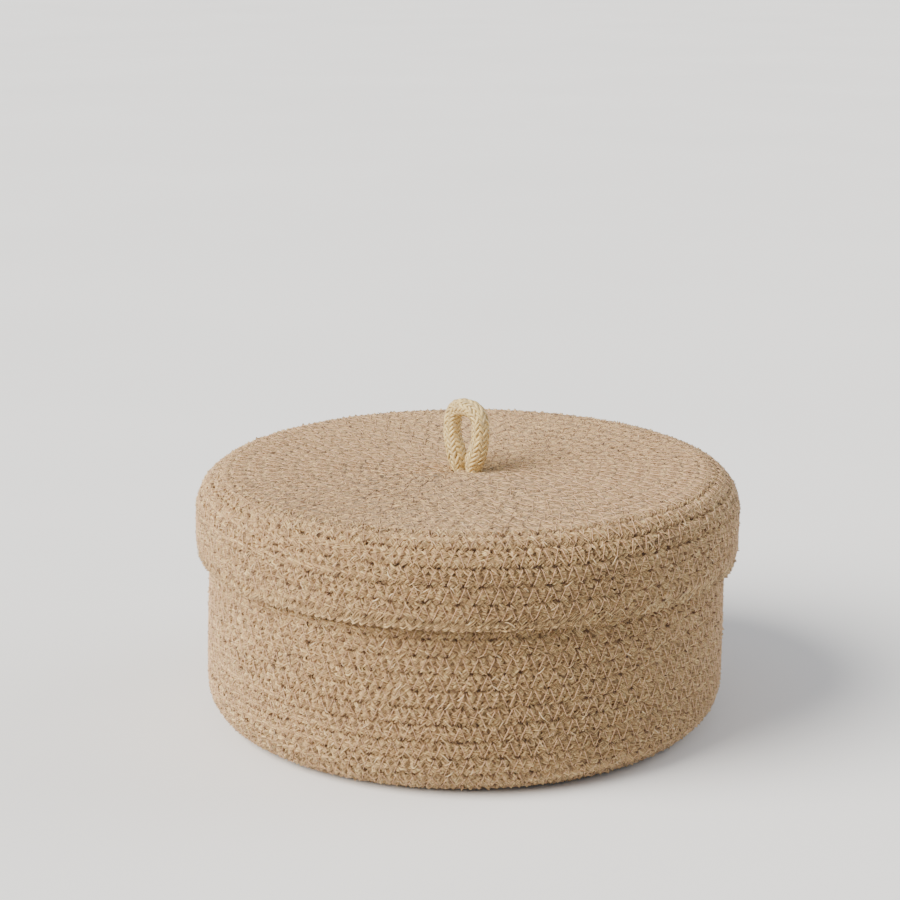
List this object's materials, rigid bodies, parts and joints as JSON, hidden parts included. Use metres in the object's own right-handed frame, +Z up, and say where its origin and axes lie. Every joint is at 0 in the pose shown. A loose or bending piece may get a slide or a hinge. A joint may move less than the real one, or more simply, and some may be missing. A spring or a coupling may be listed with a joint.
{
  "type": "lidded basket",
  "caption": "Low round basket wound from flat jute plait, with a lift-off cap lid and a braided cotton cord loop as its handle.",
  "frame": {"origin": "middle of the base, on the surface that the basket stands on", "axes": "+Z up; +X along the line through the two roots of the cord loop, which stands in the XZ plane; the picture looks from 43 degrees round from -Y towards +X"},
  "size_m": [0.24, 0.24, 0.1405],
  "materials": {
    "jute_plait": "rough natural jute, unbleached",
    "cotton_cord": "braided natural cotton, slight sheen"
  },
  "bodies": {
    "basket": {"basket_base": "jute_plait", "basket_corner": "jute_plait", "basket_wall": "jute_plait"},
    "lid": {"lid_top": "jute_plait", "lid_skirt": "jute_plait", "handle_knot": "cotton_cord"},
    "loop": {"handle_loop": "cotton_cord"}
  },
  "joints": [
    {"name": "lid_lift", "type": "slide", "parent": "basket", "child": "lid", "axis": [0, 0, 1], "range_m": [0, 0.1]},
    {"name": "loop_tilt", "type": "hinge", "parent": "lid", "child": "loop", "pos_m": [0, 0, 0.1105], "axis": [1, 0, 0], "range_deg": [-50, 50], "stiffness_Nm_per_rad": 0.003}
  ]
}
